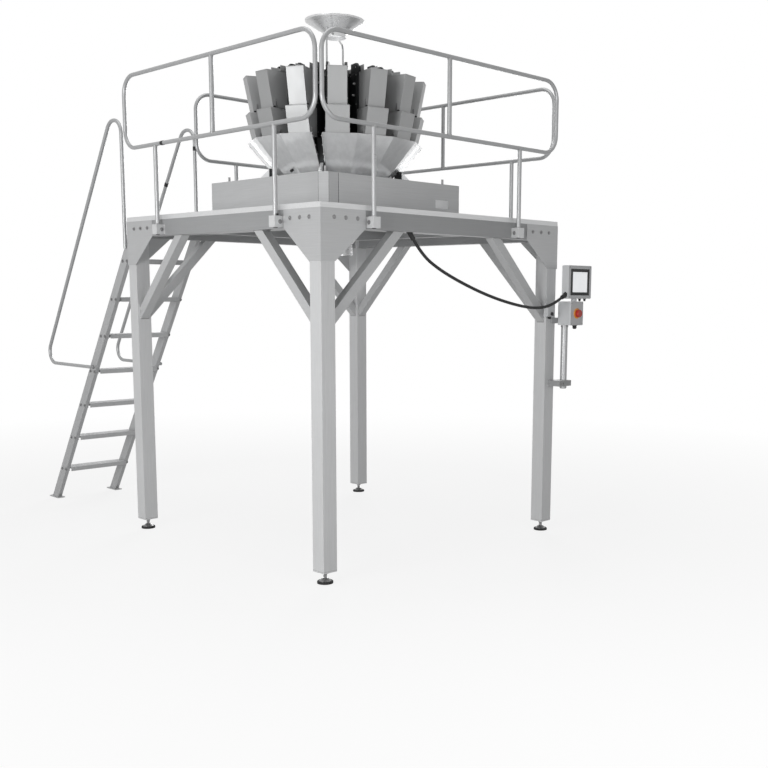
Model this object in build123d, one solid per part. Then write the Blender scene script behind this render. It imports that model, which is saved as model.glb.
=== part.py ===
from build123d import *
import os
from math import atan2, cos, degrees, hypot, radians, sin, tan

# Fourteen-head multihead weigher on its support platform, in millimetres, +Z up.
# The model is laid out round the middle of the platform, with its front side towards -Y,
# and is moved at the end so that its origin is under the middle of its outer box.

# Platform frame
platform_side = 2120
deck_top = 2200
deck_sheet = 5
skirt_drop = 30
skirt_wall = 3
post_side = 100
post_wall = 4
post_end_plate = 10
beam_width = 80
beam_height = 130
beam_wall = 4
joist_width = 60
joist_height = 100
gusset_wall = 5
gusset_reach = 330
gusset_tail = 190
brace_side = 60
brace_wall = 3
brace_reach = 560

# Levelling feet
foot_height = 70
foot_pad_radius = 48
foot_pad_height = 14
foot_pad_edge = 3
foot_cone_radius = 36
foot_cone_height = 18
foot_stem_radius = 10
foot_stem_grip = 45
foot_nut_radius = 17
foot_nut_height = 14
stem_clearance = 0.3

# Guard rails: two loops meet closely at the front left corner and two at the back right one, so
# their near ends run past the platform's edge. The uprights are placed from the middle of each
# side, and the posts from the corners or from the ladder gap. The rises are heights over the deck
rail_radius = 13
rail_upright_radius = 14
rail_bend = 120
rail_standoff = 35
rail_top_rise = 920
rail_low_rise = 450
rail_near_overrun = 7
rail_far_margin = 80
rail_upright_offset = 70
right_upright_offset = 100
back_upright_offset = 280
guard_post_near = 370
guard_post_far = 460
back_post_near = 380
back_post_from_gap = 341
clamp_height = 65
clamp_width = 56
clamp_lip = 26
clamp_clearance = 0.3

# Ladder
ladder_centre = -705
ladder_inner_width = 480
ladder_top_out = 20
ladder_run = 1470
stringer_width = 30
stringer_depth = 80
ladder_foot_sheet = 8
ladder_foot_length = 150
ladder_foot_width = 60
tread_count = 7
tread_rise = 275
tread_depth = 130
tread_height = 32
tread_sheet = 3
handrail_offset = 40
handrail_over_deck = 685
handrail_start = 143
handrail_flat = 160
handrail_end = 1120
handrail_bend = 100
handrail_end_bend = 90
handrail_stub_radius = 12
handrail_overrun = 22

# Weigher base and discharge
weigher_x = -33
weigher_y = 33
base_side = 1250
base_height = 234
base_chamfer = 46
base_wall = 3
base_top_sheet = 6
stud_inset = 104
stud_radius = 8
stud_height = 46
stud_nut_radius = 14
stud_nut_height = 12
sheet = 2
discharge_mouth = 440
discharge_flange = 36
discharge_drop = 400
spout_radius = 110
spout_length = 76

# Weigher head. The low and high rises, here and of the chutes, are heights over the top of the base
heads = 14
drum_apothem = 330
drum_low_rise = 186
drum_high_rise = 662
column_depth = 50
column_on_flange = 15
column_foot_past_flange = 76
column_foot_rise = 97
column_foot_sheet = 20
arm_width = 50
arm_low_rise = 192
arm_height = 62
housing_width = 138
housing_low_rise = 268
housing_high_rise = 678
housing_depth = 125
cheek_wall = 17
cheek_height = 54
cheek_length = 96
pool_width = 122
pool_low_rise = 446
pool_high_rise = 672
pool_low_depth = 117
pool_high_depth = 162
weigh_width = 152
weigh_low_rise = 260
weigh_high_rise = 438
weigh_low_depth = 102
weigh_high_depth = 147
gate_sheet = 3
gate_lip = 16
gate_lip_drop = 2
pan_sheet = 2
pan_wall_height = 34
pan_under_cone = 38
pan_past_housing = 45
pan_inner_width = 76
pan_outer_width = 100
cone_radius = 250
cone_gap = 6
cone_edge = 3
cone_rise = 60
vibrator_radius = 75

# Collecting chutes, and the gaps between their four groups, which widen upwards
chute_low_rise = 16
chute_high_rise = 271
chute_past_hopper = 16
chute_low_apothem = 356
chute_gap_low = 27
chute_gap_high = 66
chute_flange = 20
chute_flange_sheet = 3
chute_flange_over_base = 100
chute_seat = 0.3

# Infeed funnel and its rods
funnel_rim_radius = 200
funnel_neck_radius = 75
funnel_over_cone = 191
funnel_cone_height = 88
funnel_neck_length = 26
funnel_band = 12
rod_radius = 6
rod_from_cone = 22
rod_bend = 40

# Operator screen
pole_x = 1090
pole_y = -1120
pole_radius = 24
pole_low = 1040
bracket_height = 1055
bracket_thickness = 40
bracket_margin = 16
bracket_on_post = 60
mount_bar_low = 1496
mount_bar_height = 40
mount_bar_thickness = 18
mount_bar_on_post = 50
mount_bar_past_edge = 85
switch_box_width = 145
switch_box_depth = 115
switch_box_low = 1484
switch_box_height = 166
switch_box_edge = 1065
neck_radius = 20
neck_length = 20
screen_width = 260
screen_height = 230
screen_depth = 60
screen_left = 1036
screen_round = 8
screen_border = 22
glass_depth = 4
glass_recess = 1
stop_collar_radius = 23
stop_collar_length = 8
stop_head_radius = 27
stop_head_length = 24
junction_width = 70
junction_height = 85
junction_depth = 40
junction_low = 1545
junction_inset = 57

# Screen cable, from the gland under the front beam to the gland on the screen: each point has
# its share of the way between the two, its shift to the back and its sag below the straight line
cable_radius = 10
cable_from_brace = 87
cable_from_beam_face = 32
cable_under_beam = 40
cable_from_screen = 36
cable_over_screen_edge = 8
cable_hang = [
    (0, 0, 0),
    (0.05, -3, 72),
    (0.137, -12, 123),
    (0.282, -12, 157),
    (0.466, -6, 176),
    (0.649, 1, 170),
    (0.802, 3, 145),
    (0.92, -6, 86),
    (1, 0, 0),
]
gland_radius = 15
gland_nut_radius = 18
gland_nut_share = 0.4
gland_length = 75

# How far a cutting shape runs past the face that it cuts
cut_over = 1

# Places worked out from the sizes above
half_platform = platform_side / 2
beam_face = half_platform - skirt_wall
beam_top = deck_top - deck_sheet
beam_low = beam_top - beam_height
beam_inner = beam_face - beam_width
post_inner = beam_face - post_side
post_centre = beam_face - post_side / 2
skirt_low = deck_top - skirt_drop
rail_plane = beam_face + rail_standoff
rail_top = deck_top + rail_top_rise
rail_low = deck_top + rail_low_rise
handrail_top = deck_top + handrail_over_deck
head_pitch = 360 / heads
half_pitch = head_pitch / 2
base_top = deck_top + base_height
drum_low = base_top + drum_low_rise
drum_high = base_top + drum_high_rise
arm_low = base_top + arm_low_rise
housing_low = base_top + housing_low_rise
housing_high = base_top + housing_high_rise
pool_low = base_top + pool_low_rise
pool_high = base_top + pool_high_rise
weigh_low = base_top + weigh_low_rise
weigh_high = base_top + weigh_high_rise
chute_low = base_top + chute_low_rise
chute_high = base_top + chute_high_rise
half_base = base_side / 2
ladder_slope = atan2(deck_top, ladder_run)
ladder_top_y = half_platform + ladder_top_out
ladder_gap_edge = ladder_centre + ladder_inner_width / 2
stringer_offset = ladder_inner_width / 2 + stringer_width / 2
housing_outer = drum_apothem + housing_depth
pool_low_outer = housing_outer + pool_low_depth
pool_high_outer = housing_outer + pool_high_depth
weigh_low_outer = housing_outer + weigh_low_depth
weigh_high_outer = housing_outer + weigh_high_depth
pan_inner_end = cone_radius - pan_under_cone
pan_outer_end = housing_outer + pan_past_housing
rod_circle = cone_radius + rod_from_cone
chute_top_apothem = weigh_low_outer + chute_past_hopper
chute_slope = (chute_top_apothem - chute_low_apothem) / (chute_high - chute_low)
chute_gap_lean = (chute_gap_high - chute_gap_low) / 2 / (chute_high - chute_low)
flange_edge = discharge_mouth + discharge_flange
column_outer = discharge_mouth + column_on_flange
column_inner = column_outer - column_depth
column_low = base_top + sheet
column_angles = [half_pitch * 3, 180 - half_pitch * 3, 180 + half_pitch * 3, 360 - half_pitch * 3]
weigher_place = Pos(weigher_x, weigher_y, 0)
cone_low = housing_high + pan_sheet + pan_wall_height + cone_gap
funnel_neck_low = cone_low + cone_edge + cone_rise + funnel_over_cone
funnel_cone_low = funnel_neck_low + funnel_neck_length
funnel_top = funnel_cone_low + funnel_cone_height
brace_tip = post_inner - brace_reach
screen_low = switch_box_low + switch_box_height + neck_length
switch_box_front = -beam_face - mount_bar_thickness - switch_box_depth
screen_middle_y = switch_box_front + screen_depth / 2
cable_start = (cable_from_brace - brace_tip, cable_from_beam_face - beam_face, beam_low - cable_under_beam)
cable_end = (screen_left - cable_from_screen, screen_middle_y, screen_low + cable_over_screen_edge)

corners = [(-1, -1), (1, -1), (-1, 1), (1, 1)]
side_turns = {"front": 0, "right": 90, "back": 180, "left": 270}

# Each guard frame, seen from outside with its near end on the left or mirrored: the loop's two
# ends, the places of its uprights and the places of its posts
near_end = half_platform + rail_near_overrun
far_end = half_platform - rail_far_margin
near_post = half_platform - guard_post_near
far_post = half_platform - guard_post_far
guard_frames = {
    "front": (-near_end, far_end, [-rail_upright_offset], [-near_post, far_post]),
    "left": (-near_end, far_end, [-rail_upright_offset], [-near_post, far_post]),
    "right": (-far_end, near_end, [right_upright_offset], [-far_post, near_post]),
    "back": (
        ladder_gap_edge, near_end, [back_upright_offset],
        [ladder_gap_edge + back_post_from_gap, half_platform - back_post_near]),
}

parts = {}


def block(x_range, y_range, z_range):
    """A straight block between two values on each axis."""
    size = [high - low for low, high in (x_range, y_range, z_range)]
    middle = [(high + low) / 2 for low, high in (x_range, y_range, z_range)]
    return Pos(*middle) * Box(*size)


def plate(plane, points, thickness):
    """A flat outline on the plane, thickened by the same amount to both sides."""
    return extrude(plane * Polygon(*points, align=None), amount=thickness / 2, both=True)


def rod(start, end, radius):
    """A round bar from one point to another."""
    axis = Vector(*end) - Vector(*start)
    return extrude(Plane(origin=start, z_dir=axis) * Circle(radius), amount=axis.length)


def turned(points):
    """A closed outline of radius and height, revolved about the Z axis."""
    return revolve(Plane.XZ * Polygon(*points, align=None), Axis.Z)


def hex_bar(start, end, radius):
    """A six-sided bar from one point to another, such as a nut."""
    axis = Vector(*end) - Vector(*start)
    return extrude(Plane(origin=start, z_dir=axis) * RegularPolygon(radius, 6), amount=axis.length)


def bent_tube(points, bends, radius, close=False):
    """A round bar along straight runs joined by bends."""
    path = FilletPolyline(*points, radius=bends, close=close)
    return sweep(Plane(origin=path @ 0, z_dir=path % 0) * Circle(radius), path=path)


def around_head(shape, angle):
    """A piece made for the direction +X, turned to its place on the weigher."""
    return weigher_place * Rot(0, 0, angle) * shape


def each_head(shape):
    """The same piece on each weighing head."""
    return [around_head(shape, head_pitch * index) for index in range(heads)]


def hollow_box(x_range, y_range, z_range, wall, along):
    """A box section tube: the wall is left off at both ends of the axis it runs along."""
    ranges = [x_range, y_range, z_range]
    inner = [(low + wall, high - wall) for low, high in ranges]
    inner[along] = (ranges[along][0] - wall, ranges[along][1] + wall)
    return block(*ranges) - block(*inner)


def add(name, *shapes):
    """Keep the solids that make up one named piece."""
    solids = []
    for shape in shapes:
        solids.extend(shape.solids())
    parts[name] = Compound(solids)


def make_posts():
    """Four square tube posts with a drilled end plate for the foot."""
    posts = []
    for sx, sy in corners:
        x_range = (post_centre * sx - post_side / 2, post_centre * sx + post_side / 2)
        y_range = (post_centre * sy - post_side / 2, post_centre * sy + post_side / 2)
        post = block(x_range, y_range, (foot_height, beam_top))
        bore_side = post_side - 2 * post_wall
        bore_low = foot_height + post_end_plate
        middle = Pos(post_centre * sx, post_centre * sy, (bore_low + beam_top) / 2)
        post -= middle * Box(bore_side, bore_side, beam_top - bore_low)
        hole = Cylinder(foot_stem_radius + stem_clearance, 4 * post_end_plate)
        post -= Pos(post_centre * sx, post_centre * sy, foot_height) * hole
        posts.append(post)
    add("platform_legs", *posts)


def make_feet():
    """Levelling feet: a dark pad, and a cone and stem turned as one with a lock nut on it."""
    pad = turned([
        (0, 0), (foot_pad_radius, 0), (foot_pad_radius, foot_pad_height - foot_pad_edge),
        (foot_pad_radius - foot_pad_edge, foot_pad_height), (0, foot_pad_height),
    ])
    cone_top = foot_pad_height + foot_cone_height
    stem_top = foot_height + foot_stem_grip
    stem = turned([
        (0, foot_pad_height), (foot_cone_radius, foot_pad_height),
        (foot_nut_radius, cone_top), (foot_stem_radius, cone_top),
        (foot_stem_radius, stem_top), (0, stem_top),
    ])
    stem += hex_bar((0, 0, foot_height - foot_nut_height), (0, 0, foot_height), foot_nut_radius)
    places = [Pos(post_centre * sx, post_centre * sy, 0) for sx, sy in corners]
    add("foot_pads", *[place * pad for place in places])
    add("foot_stems", *[place * stem for place in places])


def make_beams():
    """Box section beams between the posts, one on each side."""
    beam = hollow_box(
        (-post_inner, post_inner), (-beam_face, -beam_inner), (beam_low, beam_top), beam_wall, 0)
    add("platform_beams", *[Rot(0, 0, turn) * beam for turn in side_turns.values()])


def make_joists():
    """Joists and trimmers that frame the deck opening under the walls of the weigher base."""
    z_range = (beam_top - joist_height, beam_top)
    outer = half_base
    inner = half_base - joist_width
    joists = []
    trimmers = []
    for sign in (-1, 1):
        edge = sorted((weigher_x + sign * inner, weigher_x + sign * outer))
        joists.append(hollow_box(edge, (-beam_inner, beam_inner), z_range, beam_wall, 1))
        across = sorted((weigher_y + sign * inner, weigher_y + sign * outer))
        reach = (weigher_x - inner, weigher_x + inner)
        trimmers.append(hollow_box(reach, across, z_range, beam_wall, 0))
    add("deck_joists", *joists)
    add("deck_trimmers", *trimmers)


def make_deck():
    """The deck tray: a sheet with its edge folded down over the beams and a square opening."""
    tray = block(
        (-half_platform, half_platform), (-half_platform, half_platform), (skirt_low, deck_top))
    tray -= block((-beam_face, beam_face), (-beam_face, beam_face), (skirt_low - cut_over, beam_top))
    opening = half_base - joist_width
    tray -= weigher_place * Pos(0, 0, deck_top) * Box(2 * opening, 2 * opening, 4 * deck_sheet)
    add("deck_plate", tray)


def make_gussets():
    """Folded corner plates on the outside of each post and the two beams that meet there."""
    outer = beam_face + gusset_wall
    low = beam_low - gusset_tail
    wing_outline = [
        (-outer, low), (-post_inner, low), (-beam_face + gusset_reach, beam_low),
        (-beam_face + gusset_reach, skirt_low), (-outer, skirt_low),
    ]
    wing = plate(Plane.XZ, wing_outline, gusset_wall)
    front_wing = Pos(0, -beam_face - gusset_wall / 2, 0) * wing
    side_wing = Pos(-beam_face - gusset_wall / 2, 0, 0) * Rot(0, 0, 90) * wing
    gusset = front_wing + side_wing
    add("corner_gussets", *[Rot(0, 0, turn) * gusset for turn in side_turns.values()])


def make_braces():
    """Two square tube knee braces on each side, mitred against post and beam."""
    cut = brace_side * 2 ** 0.5
    skin = brace_wall * 2 ** 0.5
    low = beam_low - brace_reach
    outline = [
        (post_inner, low), (post_inner, low + cut),
        (brace_tip + cut, beam_low), (brace_tip, beam_low),
    ]
    over = brace_side
    bore = [
        (post_inner + over, low - over + skin), (post_inner + over, low - over + cut - skin),
        (brace_tip - over + cut - skin, beam_low + over),
        (brace_tip - over + skin, beam_low + over),
    ]
    brace = plate(Plane.XZ, outline, brace_side)
    brace -= plate(Plane.XZ, bore, brace_side - 2 * brace_wall)
    right = Pos(0, -post_centre, 0) * brace
    left = right.mirror(Plane.YZ)
    turns = [Rot(0, 0, turn) for turn in side_turns.values()]
    add("knee_braces", *[turn * piece for turn in turns for piece in (right, left)])


def guard_frame(start, end, uprights, posts):
    """One welded guard frame on the plane Y = 0: a rounded loop, uprights in it and posts below."""
    loop = bent_tube(
        [(start, 0, rail_low), (end, 0, rail_low), (end, 0, rail_top), (start, 0, rail_top)],
        rail_bend, rail_radius, close=True)
    for place in uprights:
        loop += rod((place, 0, rail_low), (place, 0, rail_top), rail_upright_radius)
    for place in posts:
        loop += rod((place, 0, beam_low + gusset_wall), (place, 0, rail_low), rail_upright_radius)
    return loop


def make_guards():
    """Guard frames on the four sides, with the ladder gap left open at the back."""
    clamp_low = beam_low + gusset_wall
    post_hole = rail_upright_radius + clamp_clearance
    clamp = block(
        (-clamp_width / 2, clamp_width / 2), (-rail_plane - clamp_lip, -beam_face),
        (clamp_low, clamp_low + clamp_height))
    clamp -= Pos(0, -rail_plane, clamp_low) * Cylinder(post_hole, 4 * clamp_height)
    clamps = []
    for side, (start, end, uprights, posts) in guard_frames.items():
        turn = side_turns[side]
        sign = 1 if side in ("front", "right") else -1
        frame = guard_frame(start, end, uprights, posts)
        if sign < 0:
            frame = frame.mirror(Plane.YZ)
        add(f"{side}_guard_rail", Rot(0, 0, turn) * Pos(0, -rail_plane, 0) * frame)
        clamps += [Rot(0, 0, turn) * Pos(sign * place, 0, 0) * clamp for place in posts]
    add("guard_post_clamps", *clamps)


def ladder_y(height):
    """Distance out to the middle line of the ladder at a height."""
    return ladder_top_y + (deck_top - height) / tan(ladder_slope)


def make_ladder():
    """Fixed ladder at the back: stringers, feet, treads and bent handrails."""
    half_cut = stringer_depth / 2 / sin(ladder_slope)
    foot = ladder_foot_sheet
    top = skirt_low
    foot_plate = Pos(0, ladder_y(foot), foot / 2) * Box(ladder_foot_width, ladder_foot_length, foot)
    stringers = []
    handrails = []
    for sign in (-1, 1):
        centre = ladder_centre + sign * stringer_offset
        on_gusset = centre - stringer_width / 2 < gusset_reach - beam_face
        seat = beam_face + gusset_wall if on_gusset else beam_face
        outline = [
            (ladder_y(foot) - half_cut, foot), (ladder_y(foot) + half_cut, foot),
            (ladder_y(top) + half_cut, top), (seat, top),
            (seat, deck_top - (seat + half_cut - ladder_top_y) * tan(ladder_slope)),
        ]
        stringer = plate(Plane.YZ, outline, stringer_width) + foot_plate
        stringers.append(Pos(centre, 0, 0) * stringer)
        handrails.append(make_handrail(centre, sign))
    add("ladder_stringers", *stringers)
    add("ladder_handrails", *handrails)
    tray = Box(ladder_inner_width, tread_depth, tread_height)
    tray -= Pos(0, 0, -tread_sheet) * Box(
        ladder_inner_width + cut_over, tread_depth - 2 * tread_sheet, tread_height)
    treads = []
    for index in range(1, tread_count + 1):
        height = tread_rise * index
        treads.append(Pos(ladder_centre, ladder_y(height), height - tread_height / 2) * tray)
    add("ladder_treads", *treads)


def make_handrail(centre, sign):
    """One handrail: up from the stringer, round a hoop, down beside the ladder and back in."""
    x = centre + sign * handrail_offset
    hoop_y = half_platform + handrail_start
    low_height = deck_top - (hoop_y - ladder_top_y) * tan(ladder_slope)
    flat_end = hoop_y + handrail_flat
    low_out = flat_end + (handrail_top - handrail_end) / tan(ladder_slope)
    in_end = ladder_y(handrail_end)
    rail = bent_tube(
        [
            (x, hoop_y, low_height - handrail_overrun), (x, hoop_y, handrail_top),
            (x, flat_end, handrail_top), (x, low_out, handrail_end),
            (x, in_end - handrail_overrun, handrail_end),
        ],
        [handrail_bend, handrail_bend, handrail_end_bend], rail_radius)
    face = centre + sign * stringer_width / 2
    for y, z in ((hoop_y, low_height), (in_end, handrail_end)):
        rail += rod((face, y, z), (x, y, z), handrail_stub_radius)
    return rail


def make_base():
    """The weigher's square base: a sheet metal box, open below, with a round hole in its top."""
    outline = chamfer(Rectangle(base_side, base_side).vertices(), base_chamfer)
    inner_side = base_side - 2 * base_wall
    inner_outline = chamfer(Rectangle(inner_side, inner_side).vertices(), base_chamfer)
    box = extrude(outline, amount=base_height)
    box -= extrude(inner_outline, amount=base_height - base_top_sheet)
    box -= Pos(0, 0, base_height) * Cylinder(discharge_mouth, 4 * base_top_sheet)
    add("weigher_base", weigher_place * Pos(0, 0, deck_top) * box)
    reach = half_base - stud_inset
    stud = rod((0, 0, 0), (0, 0, stud_height), stud_radius)
    stud += hex_bar((0, 0, 0), (0, 0, stud_nut_height), stud_nut_radius)
    studs = [
        weigher_place * Pos(reach * sx, reach * sy, base_top) * stud for sx, sy in corners]
    add("base_studs", *studs)


def make_discharge():
    """The discharge funnel that hangs in the base and ends in a round spout under the deck."""
    spout_top = base_top - discharge_drop
    inner = discharge_mouth - sheet
    funnel = turned([
        (inner, base_top + sheet), (flange_edge, base_top + sheet),
        (flange_edge, base_top), (discharge_mouth, base_top),
        (spout_radius, spout_top), (spout_radius, spout_top - spout_length),
        (spout_radius - sheet, spout_top - spout_length), (spout_radius - sheet, spout_top),
    ])
    add("discharge_funnel", weigher_place * funnel)


def head_polygon(apothem):
    """A regular outline with one flat facing each weighing head."""
    outline = RegularPolygon(apothem, heads, major_radius=False)
    return Rot(0, 0, half_pitch) * outline


def chute_gap_half(height):
    """Half the width of the gap between two chute groups at a height."""
    return chute_gap_low / 2 + (height - chute_low) * chute_gap_lean


def chute_gap_block(inner, outer, low, high, seat):
    """A block that fills a chute gap between two radii and two heights, less the seat's play."""
    low_half = chute_gap_half(low) - seat
    high_half = chute_gap_half(high) - seat
    outline = Polygon(
        (-low_half, low), (low_half, low), (high_half, high), (-high_half, high), align=None)
    return Pos(inner, 0, 0) * extrude(Plane.YZ * outline, amount=outer - inner)


def make_drum():
    """The central body, its four columns with arms, and the vibrator that carries the cone."""
    drum = Pos(0, 0, drum_low) * extrude(head_polygon(drum_apothem), amount=drum_high - drum_low)
    drum += Pos(0, 0, (drum_low + cone_low) / 2) * Cylinder(vibrator_radius, cone_low - drum_low)
    add("central_body", weigher_place * drum)
    column = chute_gap_block(
        column_inner, column_outer, column_low, arm_low + arm_height, chute_seat)
    arm = block(
        (drum_apothem, column_inner), (-arm_width / 2, arm_width / 2),
        (arm_low, arm_low + arm_height))
    foot = plate(
        Plane.XZ,
        [
            (column_outer, column_low), (flange_edge, column_low), (flange_edge, base_top),
            (flange_edge + column_foot_past_flange, base_top),
            (column_outer, base_top + column_foot_rise),
        ],
        column_foot_sheet)
    columns = []
    for angle in column_angles:
        columns.append(around_head(column + arm, angle) - weigher_place * drum)
    add("support_columns", *columns)
    add("column_feet", *[around_head(foot, angle) for angle in column_angles])
    cone = turned([
        (0, cone_low), (cone_radius, cone_low), (cone_radius, cone_low + cone_edge),
        (0, cone_low + cone_edge + cone_rise),
    ])
    add("dispersion_cone", weigher_place * cone)


def make_housings():
    """A drive housing on each face of the central body, with two cheeks beside the feeder pan."""
    body = block(
        (drum_apothem, housing_outer), (-housing_width / 2, housing_width / 2),
        (housing_low, housing_high))
    cheek_outline = [
        (housing_outer - cheek_length, housing_high), (housing_outer, housing_high),
        (housing_outer, housing_high + cheek_height / 2),
        (housing_outer - cheek_height / 2, housing_high + cheek_height),
        (housing_outer - cheek_length, housing_high + cheek_height),
    ]
    cheek = plate(Plane.XZ, cheek_outline, cheek_wall)
    offset = housing_width / 2 - cheek_wall / 2
    housing = body + Pos(0, offset, 0) * cheek + Pos(0, -offset, 0) * cheek
    add("drive_housings", *each_head(housing))


def make_pans():
    """Linear feeder pans that run outward from under the cone to over the pool hoppers."""
    half_in = pan_inner_width / 2
    half_out = pan_outer_width / 2

    def outline(margin):
        return Polygon(
            (pan_inner_end, -half_in + margin), (pan_outer_end + margin, -half_out + margin),
            (pan_outer_end + margin, half_out - margin), (pan_inner_end, half_in - margin),
            align=None)

    pan = extrude(outline(0), amount=pan_sheet + pan_wall_height)
    pan -= Pos(0, 0, pan_sheet) * extrude(outline(pan_sheet), amount=pan_wall_height)
    add("feeder_pans", *each_head(Pos(0, 0, housing_high) * pan))


def hopper(width, low, high, low_outer, high_outer):
    """One folded sheet hopper for the direction +X, open at the top and at the bottom."""
    shell = plate(
        Plane.XZ,
        [(housing_outer, low), (low_outer, low), (high_outer, high), (housing_outer, high)], width)
    lean = (high_outer - low_outer) / (high - low)
    skin = sheet * hypot(1, lean)
    over = sheet
    bore = plate(
        Plane.XZ,
        [
            (housing_outer + sheet, low - over), (low_outer - skin - lean * over, low - over),
            (high_outer - skin + lean * over, high + over), (housing_outer + sheet, high + over),
        ],
        width - 2 * sheet)
    return shell - bore


def gate(width, low, low_outer):
    """One hopper gate: a plate under the hopper with a lip folded down at its outer edge."""
    leaf = block(
        (housing_outer, low_outer), (-width / 2, width / 2), (low - gate_sheet, low))
    lip_width = width - 2 * gate_lip
    lip = block(
        (housing_outer + gate_lip, housing_outer + gate_lip + gate_sheet),
        (-lip_width / 2, lip_width / 2), (low - gate_sheet - gate_lip_drop, low - gate_sheet))
    return leaf + lip


def make_hoppers():
    """Pool hoppers, weigh hoppers below them, and the gates that close each one."""
    add("pool_hoppers", *each_head(
        hopper(pool_width, pool_low, pool_high, pool_low_outer, pool_high_outer)))
    add("pool_hopper_gates", *each_head(gate(pool_width, pool_low, pool_low_outer)))
    add("weigh_hoppers", *each_head(
        hopper(weigh_width, weigh_low, weigh_high, weigh_low_outer, weigh_high_outer)))
    add("weigh_hopper_gates", *each_head(gate(weigh_width, weigh_low, weigh_low_outer)))


def faceted_cone(shrink, over):
    """The tapering solid inside the chutes, taken in by an amount and run on past both ends."""
    sections = []
    for z, apothem in ((chute_low, chute_low_apothem), (chute_high, chute_top_apothem)):
        end = -over if z == chute_low else over
        outline = head_polygon(apothem - shrink + end * chute_slope)
        sections.append(Pos(0, 0, z + end) * outline)
    return loft([section.face() for section in sections], ruled=True)


def chute_flange_plate(flange_low, skin):
    """The plate that stands out along one edge of a chute group, upright on the plane Y = 0."""
    half_turn = radians(half_pitch)
    slope = chute_slope / cos(half_turn)
    edge = []
    for height in (flange_low, chute_high):
        apothem = chute_low_apothem + (height - chute_low) * chute_slope
        aside = chute_gap_half(height) + chute_flange_sheet / 2
        edge.append(apothem / cos(half_turn) - aside * tan(half_turn))
    low_r, high_r = edge
    out_r = chute_flange / hypot(1, slope)
    outline = [
        (low_r - skin / 2, flange_low), (high_r - skin / 2, chute_high),
        (high_r + out_r, chute_high - out_r * slope),
        (low_r + chute_flange * hypot(1, slope), flange_low),
    ]
    return plate(Plane.XZ, outline, chute_flange_sheet)


def make_chutes():
    """Four groups of collecting chute panels, each with flanges seated on the columns."""
    skin = sheet * hypot(1, chute_slope)
    shell = faceted_cone(0, 0) - faceted_cone(skin, sheet)
    far = 2 * chute_top_apothem
    strip = chute_gap_block(0, far, chute_low - 2 * sheet, chute_high + 2 * sheet, 0)
    flange_low = base_top + chute_flange_over_base
    flange = chute_flange_plate(flange_low, skin)
    lean = degrees(atan2(chute_gap_lean, 1))
    sides = {}
    for sign in (1, -1):
        plate_place = Pos(0, sign * chute_gap_low / 2, chute_low) * Rot(-sign * lean, 0, 0)
        sides[sign] = plate_place * Pos(0, sign * chute_flange_sheet / 2, -chute_low) * flange
    names = ("back", "left", "front", "right")
    for index, name in enumerate(names):
        start = column_angles[index]
        end = column_angles[(index + 1) % len(column_angles)]
        span = (end - start) % 360
        corners_at = [start + span * step / 3 for step in range(4)]
        rim = [(far * cos(radians(a)), far * sin(radians(a))) for a in corners_at]
        wedge = Pos(0, 0, chute_low - far) * extrude(
            Polygon((0, 0), *rim, align=None), amount=2 * far)
        group = shell & wedge
        group -= Rot(0, 0, start) * strip
        group -= Rot(0, 0, end) * strip
        group += Rot(0, 0, start) * sides[1]
        group += Rot(0, 0, end) * sides[-1]
        add(f"{name}_collecting_chute", weigher_place * group)


def make_infeed():
    """The infeed funnel above the cone and the two bent rods that carry it."""
    band_low = funnel_top - funnel_band
    inner_rim = funnel_rim_radius - sheet
    inner_neck = funnel_neck_radius - sheet
    funnel = turned([
        (inner_rim, funnel_top), (funnel_rim_radius, funnel_top), (funnel_rim_radius, band_low),
        (funnel_neck_radius, funnel_cone_low), (funnel_neck_radius, funnel_neck_low),
        (inner_neck, funnel_neck_low), (inner_neck, funnel_cone_low + sheet / 2),
        (inner_rim, band_low + sheet / 2),
    ])
    add("infeed_funnel", weigher_place * funnel)
    arm_height = (funnel_cone_low + funnel_neck_low) / 2
    rods = []
    for angle in (column_angles[0], column_angles[2]):
        bar = bent_tube(
            [
                (rod_circle, 0, drum_high), (rod_circle, 0, arm_height),
                (funnel_neck_radius, 0, arm_height),
            ],
            rod_bend, rod_radius)
        bar -= Pos(0, 0, arm_height) * Cylinder(funnel_neck_radius, 4 * rod_radius)
        rods.append(around_head(bar, angle))
    add("infeed_rods", *rods)


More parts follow.
